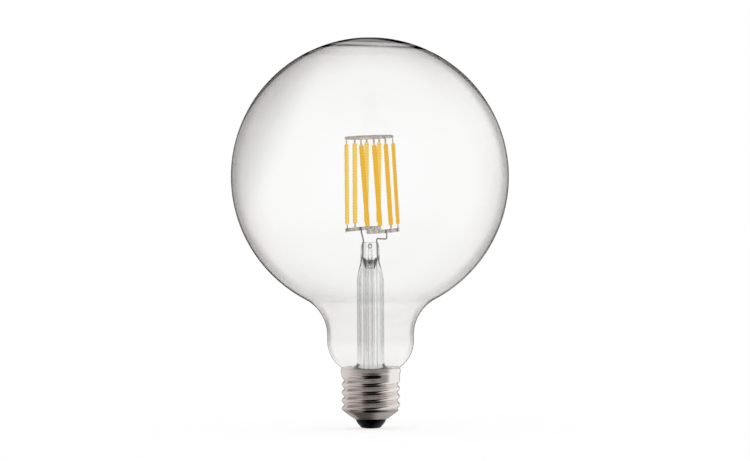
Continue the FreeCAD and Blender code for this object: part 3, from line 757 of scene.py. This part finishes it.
def rounded_bar(half_width, half_depth, power, count):
    """Superellipse: |u / half width| to the power plus |v / half depth| to the power is 1."""
    angle = loop_angles(count)
    cos, sin = np.cos(angle), np.sin(angle)
    return np.stack([
        half_width * np.sign(cos) * np.abs(cos)**(2 / power),
        half_depth * np.sign(sin) * np.abs(sin)**(2 / power)], axis=-1)


def filament(number, group_turn, index):
    """Coated rod on the line from its foot to its top: a superellipse that swells a little along it.

    The swell is the mean plus two sine waves of the length, which start elsewhere on each rod. Towards each
    end the section shrinks as a quarter circle, so that the silicone ends in a rounded bead.
    """
    step = index - (FILAMENTS_PER_GROUP - 1) / 2
    foot = on_circle(FOOT_RADIUS, group_turn + TWIST + step * FOOT_STEP, 0)
    top = on_circle(TOP_RADIUS, group_turn + step * TOP_STEP, CAGE_HEIGHT)
    length = np.linalg.norm(top - foot)
    upward = (top - foot) / length
    outward = (foot + top) * (1, 1, 0)
    side = np.cross(outward - outward @ upward * upward, upward)
    bead = BEAD_LENGTH * (1 - np.cos(np.radians(np.linspace(12, 90, 7))))
    rod = np.linspace(BEAD_LENGTH, FILAMENT_LENGTH - BEAD_LENGTH, 60)[1:-1]
    along = np.concatenate([bead, rod, FILAMENT_LENGTH - bead[::-1]])
    from_end = np.minimum(along, FILAMENT_LENGTH - along)
    end = np.sqrt(1 - np.clip(1 - from_end / BEAD_LENGTH, 0, 1)**2)
    slow = COAT_SLOW_WAVE * np.sin(along * 0.9 + 2.1 * number)
    quick = COAT_QUICK_WAVE * np.sin(along * 2.3 + number)
    swell = COAT_SWELL + slow + quick
    section = rounded_bar(FILAMENT_WIDTH / 2, FILAMENT_THICKNESS / 2, COAT_POWER, 28)
    start = (length - FILAMENT_LENGTH) / 2
    path = foot + upward * (start + along)[:, None]
    points = swept(path, section * (end * swell)[:, None, None], side)
    ends = foot + upward * start, foot + upward * (start + FILAMENT_LENGTH)
    vertices, blocks = closed_surface(in_cage(points), *in_cage(ends))
    facing = np.broadcast_to(section[:, 1] / (FILAMENT_THICKNESS / 2), points.shape[:2])
    spread = np.broadcast_to(along[:, None], points.shape[:2])
    return (vertices, blocks), {
        "outward": np.append(facing.ravel(), [0, 0]),
        "along": np.append(spread.ravel(), [0, FILAMENT_LENGTH])}


for group, group_turn in enumerate(GROUP_TURNS):
    for index in range(FILAMENTS_PER_GROUP):
        number = group * FILAMENTS_PER_GROUP + index + 1
        surface, values = filament(number, group_turn, index)
        add_piece(f"coated_filament_{number}", surface, filament_coat,
                  [f"filament_{number}"], values)


def strip(radius, height, low, first, last):
    """Upright ribbon round the cage: a thin rounded bar carried along an arc, outer face at the radius."""
    whole = last - first >= 360
    turn = np.linspace(first, last, 97)[:-1] if whole else np.linspace(first, last, 61)
    middle = radius - STRIP_THICKNESS / 2
    path = on_circle(middle, turn, low + height / 2)
    section = rounded_bar(STRIP_THICKNESS / 2, height / 2, STRIP_POWER, 24)
    outward = on_circle(1, turn, 0)
    if whole:
        tangent = on_circle(1, turn + 90, 0)
        down = np.cross(tangent, outward)
        points = path[:, None] + section[:, :1] * outward[:, None] + section[:, 1:] * down[:, None]
        return closed_surface(in_cage(points), close_rows=True)
    points = swept(path, section, outward)
    return closed_surface(in_cage(points), *in_cage(path[[0, -1]]))


add_piece("top_ring_strip", strip(TOP_RADIUS - TAB_TO_STRIP, RING_HEIGHT, CAGE_HEIGHT - RING_HEIGHT, 0, 360),
          bright_strip, ["top_ring"], sharp=40)
for name, group_turn in zip(("front_bus", "rear_bus"), GROUP_TURNS):
    half_span = (FILAMENTS_PER_GROUP - 1) / 2 * FOOT_STEP
    ribbon = strip(FOOT_RADIUS - TAB_TO_STRIP, BUS_HEIGHT, 0, group_turn + TWIST - half_span - BUS_START,
                   group_turn + TWIST + half_span + BUS_END)
    add_piece(f"{name}_strip", ribbon, bright_strip, [name], sharp=40)


# Lead wires

def bent_path(corners, bend):
    """Straight runs whose corners are parabolas: (1-t)^2 before + 2t(1-t) corner + t^2 after."""
    corners = np.array(corners, dtype=float)
    t = np.linspace(0, 1, 13)[:, None]
    runs = [corners[:1]]
    for before, corner, after in zip(corners, corners[1:], corners[2:]):
        start = corner + bend * (before - corner) / np.linalg.norm(before - corner)
        end = corner + bend * (after - corner) / np.linalg.norm(after - corner)
        runs.append((1 - t)**2 * start + 2 * t * (1 - t) * corner + t**2 * end)
    return np.concatenate(runs + [corners[-1:]])


def wire(corners, radius, bend):
    """Round wire along a bent path, its ends closed flat."""
    path = bent_path(corners, bend)
    angle = loop_angles(20)
    section = radius * np.stack([np.cos(angle), np.sin(angle)], axis=-1)
    return closed_surface(swept(path, section, (0.3, 1, 0.2)), path[0], path[-1])


bus_outer = FOOT_RADIUS - TAB_TO_STRIP
left_radius = bus_outer - STRIP_THICKNESS - WELD_GAP - LEAD_RADIUS
left_turn = GROUP_TURNS[1] + TWIST
left_lead = wire([
    (-LEAD_SPREAD / 2, 0, BOARD_HEIGHT),
    (-LEAD_SPREAD / 2, 0, PRESS_TOP + LEFT_KNEE_RISE),
    in_cage(on_circle(left_radius, left_turn, -2 * LEAD_RADIUS)),
    in_cage(on_circle(left_radius, left_turn, BUS_HEIGHT))], LEAD_RADIUS, LEAD_BEND)
add_piece("left_lead", left_lead, lead_nickel, ["left_lead_wire"], sharp=50)
right_radius = bus_outer + WELD_GAP + LEAD_RADIUS
right_turn = GROUP_TURNS[0] + TWIST
right_lead = wire([
    (LEAD_SPREAD / 2, 0, BOARD_HEIGHT),
    (LEAD_SPREAD / 2, 0, PRESS_TOP + RIGHT_KNEE_RISE),
    in_cage(on_circle(right_radius, right_turn, -RIGHT_DROP)),
    in_cage(on_circle(right_radius, right_turn, BUS_HEIGHT))], LEAD_RADIUS, LEAD_BEND)
add_piece("right_lead", right_lead, lead_nickel, ["right_lead_wire"], sharp=50)


# Screw cap

def screw_shell():
    """Shell as radius over angle and height: cone, rolled thread and collar, then down the plain inside.

    The groove is depth times (1 + cos p) / 2, where the phase p counts pitches from the helix. It fades out
    past the thread's end. Where the cone is narrower it wins, by a soft minimum: -s log(e^(-a/s) + e^(-b/s)).
    """
    angle = loop_angles(240)
    curl_base = CAP_HEIGHT - RIM_CURL
    curl_rows = curl_base + RIM_CURL * np.sin(np.radians(np.linspace(0, 90, 9)))[1:]
    height = np.concatenate([np.linspace(LIP_HEIGHT, curl_base, 170), curl_rows])[:, None]
    turn = (np.degrees(angle) - THREAD_END_ANGLE) / 360
    turn = turn - np.ceil(turn)
    count = (height - THREAD_END_HEIGHT) / THREAD_PITCH - turn
    nearest = np.round(count)
    past_end = turn + nearest
    depth = 1 - smooth_step(past_end / RUN_OUT_TURNS)
    groove = depth * (1 + np.cos(2 * np.pi * (count - nearest))) / 2
    body = CREST_RADIUS - THREAD_DEPTH * groove
    cone = LIP_RADIUS + (height - LIP_HEIGHT) * (CREST_RADIUS - LIP_RADIUS) / CONE_HEIGHT
    soft = SHELL_SOFTNESS
    radius = -soft * np.log(np.exp(-body / soft) + np.exp(-(cone + CONE_PROUD) / soft))
    collar = smooth_step((height - COLLAR_BASE) / (LEDGE_HEIGHT - COLLAR_BASE))
    radius = radius + collar * (COLLAR_RADIUS - CREST_RADIUS)
    curl = np.clip((height - CAP_HEIGHT + RIM_CURL) / RIM_CURL, 0, 1)
    radius = radius - RIM_CURL_IN * (1 - np.sqrt(1 - curl**2))
    outside = around_axis(radius, angle, height)
    inside = turned(np.array([
        (COLLAR_RADIUS - SHELL_WALL, CAP_HEIGHT - INNER_STEP),
        (COLLAR_RADIUS - SHELL_WALL, LEDGE_HEIGHT + INNER_STEP),
        (SHELL_BORE, LEDGE_HEIGHT),
        (SHELL_BORE, LIP_HEIGHT + INNER_CONE_TOP),
        (LIP_BORE, LIP_HEIGHT + INNER_LIP)]), 240)
    points = np.concatenate([outside, inside])
    depths = np.concatenate([groove.ravel(), np.zeros(inside.shape[0] * inside.shape[1])])
    return closed_surface(points, close_rows=True), {"groove": depths}


surface, values = screw_shell()
add_piece("rolled_screw_shell", surface, cap_nickel, ["screw_shell"], values, sharp=60)


def cement_ring():
    """Ring of cement between shell and glass: up the bore, a round fillet at the rim, down along the bowl."""
    bowl = BOWL_RADIUS + CEMENT_GAP
    fillet = np.radians(np.linspace(0, 90, 7))
    outer = COLLAR_RADIUS - SHELL_WALL - CEMENT_GAP
    top = CAP_HEIGHT - CEMENT_DROP
    high = np.stack([
        outer - CEMENT_FILLET * (1 - np.cos(fillet)), top - CEMENT_FILLET * (1 - np.sin(fillet))], axis=-1)
    start = np.arccos((BOWL_HEIGHT - top) / bowl)
    low = np.arcsin((SHELL_BORE - CEMENT_REACH - BOWL_CENTRE) / bowl)
    along = np.linspace(start, low, 16)
    under = np.stack([BOWL_CENTRE + bowl * np.sin(along), BOWL_HEIGHT - bowl * np.cos(along)], axis=-1)
    base = np.array([(SHELL_BORE, LEDGE_HEIGHT + CEMENT_LIFT), (outer, LEDGE_HEIGHT + CEMENT_LIFT)])
    return closed_surface(turned(np.concatenate([base, high, under]), 128), close_rows=True)


add_piece("cement_fillet", cement_ring(), cement_body, ["basing_cement"])


def cap_insulator():
    """Poured black glass: flat foot, rounded edge and a gently bellied flank up into the shell's lip."""
    edge = np.radians(np.linspace(-90, -20, 9))
    centre = INSULATOR_BASE_RADIUS - INSULATOR_EDGE * INSULATOR_EDGE_IN, CONTACT_THICKNESS + INSULATOR_EDGE
    corner = np.array(centre) + INSULATOR_EDGE * np.stack([np.cos(edge), np.sin(edge)], axis=-1)
    rise = np.linspace(0, 1, 14)[1:, None]
    flank_top = np.array([LIP_BORE + INSULATOR_OVERLAP, LIP_HEIGHT + INSULATOR_COVER])
    flank = corner[-1] + rise * (flank_top - corner[-1])
    flank[:, :1] += INSULATOR_BELLY * np.sin(np.pi * rise)
    plug = LIP_BORE - PLUG_GAP
    inner = np.array([(plug, LIP_HEIGHT + PLUG_START), (plug, LIP_HEIGHT + PLUG_HEIGHT)])
    profile = np.concatenate([corner, flank, inner])
    return closed_surface(turned(profile, 96), (0, 0, CONTACT_THICKNESS), (0, 0, LIP_HEIGHT + PLUG_HEIGHT))


add_piece("vitrite_insulator", cap_insulator(), vitrite, ["cap_insulator"])


def centre_contact():
    """Pressed disc with a low dome of solder over its middle, which touches the plane z = 0."""
    radius = np.linspace(SOLDER_START, CONTACT_RADIUS - CONTACT_EDGE, 18)
    dome = SOLDER_DOME * smooth_step((radius - SOLDER_FLAT) / SOLDER_SLOPE)
    rim = np.radians(np.linspace(-75, 0, 6))
    profile = np.concatenate([
        np.stack([radius, dome], axis=-1),
        np.stack([CONTACT_RADIUS - CONTACT_EDGE + CONTACT_EDGE * np.cos(rim),
                  SOLDER_DOME + CONTACT_EDGE + CONTACT_EDGE * np.sin(rim)], axis=-1),
        [(CONTACT_RADIUS, CONTACT_THICKNESS + CONTACT_SEAT)]])
    return closed_surface(turned(profile, 64), (0, 0, 0), (0, 0, CONTACT_THICKNESS + CONTACT_SEAT))


add_piece("soldered_contact", centre_contact(), contact_tin, ["centre_contact"], sharp=50)


# CAD nodes that stay, with their finishes
KEPT_FINISHES = {
    "driver_board": board_mask,
    "bridge_rectifier": package_epoxy,
    "current_regulator": package_epoxy,
    "smoothing_capacitor": capacitor_sleeve,
    "fuse_resistor": resistor_enamel,
    "neutral_wire": tinned_copper,
}
for number in range(1, 2 * FILAMENTS_PER_GROUP + 1):
    KEPT_FINISHES[f"filament_{number}_foot_tab"] = bright_strip
    KEPT_FINISHES[f"filament_{number}_top_tab"] = bright_strip
for name, material in KEPT_FINISHES.items():
    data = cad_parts[name].data
    data.materials.clear()
    data.materials.append(material)


# Floor, studio and camera
FLOOR_HALF = 20.0           # metres
FLOOR_LIFT = 0.7            # light that lifts the sheet to the backdrop's white


def white_floor():
    """Pale sheet that carries the shadow, lifted to the white of the backdrop where it is seen.

    Mirror rays pass it and see the lower half of the studio, which has no edge at the horizon.
    """
    material, tree = new_material("white_paper_floor")
    ray = add(tree, "ShaderNodeLightPath").outputs
    seen = add(tree, "ShaderNodeMath", {0: ray["Is Camera Ray"], 1: ray["Is Transmission Ray"]},
               operation="MAXIMUM")
    lift = add(tree, "ShaderNodeMath", {0: seen.outputs[0], 1: FLOOR_LIFT}, operation="MULTIPLY")
    paper = add(tree, "ShaderNodeBsdfDiffuse", {"Color": linear("959595")})
    glow = add(tree, "ShaderNodeEmission", {"Strength": lift.outputs[0]})
    both = add(tree, "ShaderNodeAddShader", {0: paper.outputs[0], 1: glow.outputs[0]})
    clear = add(tree, "ShaderNodeBsdfTransparent")
    sheet = add(tree, "ShaderNodeMixShader", {
        0: ray["Is Glossy Ray"], 1: both.outputs[0], 2: clear.outputs[0]})
    add(tree, "ShaderNodeOutputMaterial", {"Surface": sheet.outputs[0]})
    return material


floor_mesh = bpy.data.meshes.new("floor")
floor_mesh.from_pydata([
    (-FLOOR_HALF, -FLOOR_HALF, 0), (FLOOR_HALF, -FLOOR_HALF, 0),
    (FLOOR_HALF, FLOOR_HALF, 0), (-FLOOR_HALF, FLOOR_HALF, 0)], [], [(0, 1, 2, 3)])
floor_mesh.materials.append(white_floor())
floor = bpy.data.objects.new("floor", floor_mesh)
bpy.context.scene.collection.objects.link(floor)


# Studio that metal and glass reflect, by azimuth from the front towards +X
STUDIO_AROUND = (
    (-180, "E8E6E5"), (-140, "E4DFDD"), (-100, "E0DAD8"), (-75, "CAC3C1"),
    (-50, "A8A2A1"), (-26, "928C8B"), (32, "908A89"), (58, "9C9695"),
    (70, "B4AEAD"), (84, "FFFFFF"), (140, "FFFFFF"), (180, "E8E6E5"))
# Azimuth, elevation, half angles of the full and the faded card, and colour
STUDIO_CARDS = (
    (8, -42, 30, 42, "0E0C0B"), (8, -62, 20, 34, "0C0A09"), (-148, -62, 13, 28, "7E7876"),
    (0, 58, 22, 36, "6E6967"), (-118, 50, 13, 34, "948E8C"),
    (180, -2, 12, 25, "56524F"), (-169, 16, 7, 12, "080707"), (170, 17, 7, 12, "080707"))
# Sines of the elevations between which the ceiling sets in, and its colour
METAL_CEILING = (0.45, 0.9, "DAD3D0")
GLASS_CEILING = (0.35, 0.8, "969492")


def studio():
    """White backdrop for the eye, a grey room with a white right side and dark cards for metal to mirror.

    Through glass the room is white, with a grey ceiling.
    """
    world = bpy.data.worlds.new("studio")
    world.use_nodes = True
    tree = world.node_tree
    tree.nodes.clear()
    ray = add(tree, "ShaderNodeLightPath").outputs
    direction = add(tree, "ShaderNodeTexCoord").outputs["Generated"]
    x, y, up = add(tree, "ShaderNodeSeparateXYZ", {0: direction}).outputs
    front = add(tree, "ShaderNodeMath", {0: y, 1: -1.0}, operation="MULTIPLY").outputs[0]
    azimuth = add(tree, "ShaderNodeMath", {0: x, 1: front}, operation="ARCTAN2").outputs[0]
    azimuth = add(tree, "ShaderNodeMapRange", {
        "Value": azimuth, "From Min": -np.pi, "From Max": np.pi}).outputs[0]
    room = add(tree, "ShaderNodeValToRGB", {"Fac": azimuth}, stops=[
        (angle / 360 + 0.5, code) for angle, code in STUDIO_AROUND]).outputs["Color"]
    parts = [(up, *METAL_CEILING)]
    for turn, lift, full, faded, code in STUDIO_CARDS:
        turn, lift, full, faded = np.radians((turn, lift, full, faded))
        centre = (np.sin(turn) * np.cos(lift), -np.cos(turn) * np.cos(lift), np.sin(lift))
        near = add(tree, "ShaderNodeVectorMath", {0: direction, 1: centre}, operation="DOT_PRODUCT")
        parts.append((near.outputs["Value"], np.cos(faded), np.cos(full), code))
    for value, start, end, code in parts:
        share = add(tree, "ShaderNodeMapRange", {"Value": value, "From Min": start, "From Max": end},
                    interpolation_type="SMOOTHSTEP").outputs[0]
        room = add(tree, "ShaderNodeMix", {0: share, 6: room, 7: linear(code)}, data_type="RGBA").outputs[2]
    start, end, code = GLASS_CEILING
    ceiling = add(tree, "ShaderNodeMapRange", {"Value": up, "From Min": start, "From Max": end},
                  interpolation_type="SMOOTHSTEP").outputs[0]
    white = linear("FFFFFF")
    through = add(tree, "ShaderNodeMix", {0: ceiling, 6: white, 7: linear(code)}, data_type="RGBA").outputs[2]
    light = white
    for kind, colour in (("Is Glossy Ray", room), ("Is Transmission Ray", through),
                         ("Diffuse Depth", white), ("Is Camera Ray", white)):
        light = add(tree, "ShaderNodeMix", {0: ray[kind], 6: light, 7: colour}, data_type="RGBA").outputs[2]
    glow = add(tree, "ShaderNodeBackground", {"Color": light, "Strength": 1.0})
    add(tree, "ShaderNodeOutputWorld", {"Surface": glow.outputs[0]})
    return world


scene = bpy.context.scene
scene.world = studio()
scene.view_settings.view_transform = "Standard"
scene.cycles.blur_glossy = 0.0

CAMERA_X = 2.2
CAMERA_HEIGHT = 89.0
CAMERA_DISTANCE = 1700.0
CAMERA_ROLL = -0.25
IMAGE_WIDTH = 337.1         # across the picture at the bulb's axis
lens = bpy.data.cameras.new("camera")
lens.sensor_width = 36.0
lens.lens = lens.sensor_width * CAMERA_DISTANCE / IMAGE_WIDTH
camera = bpy.data.objects.new("camera", lens)
aim = Euler((np.pi / 2, 0, 0)).to_matrix() @ Matrix.Rotation(np.radians(CAMERA_ROLL), 3, "Z")
stand = Matrix.Translation((CAMERA_X * MM, -CAMERA_DISTANCE * MM, CAMERA_HEIGHT * MM))
camera.matrix_world = stand @ aim.to_4x4()
scene.collection.objects.link(camera)
scene.camera = camera
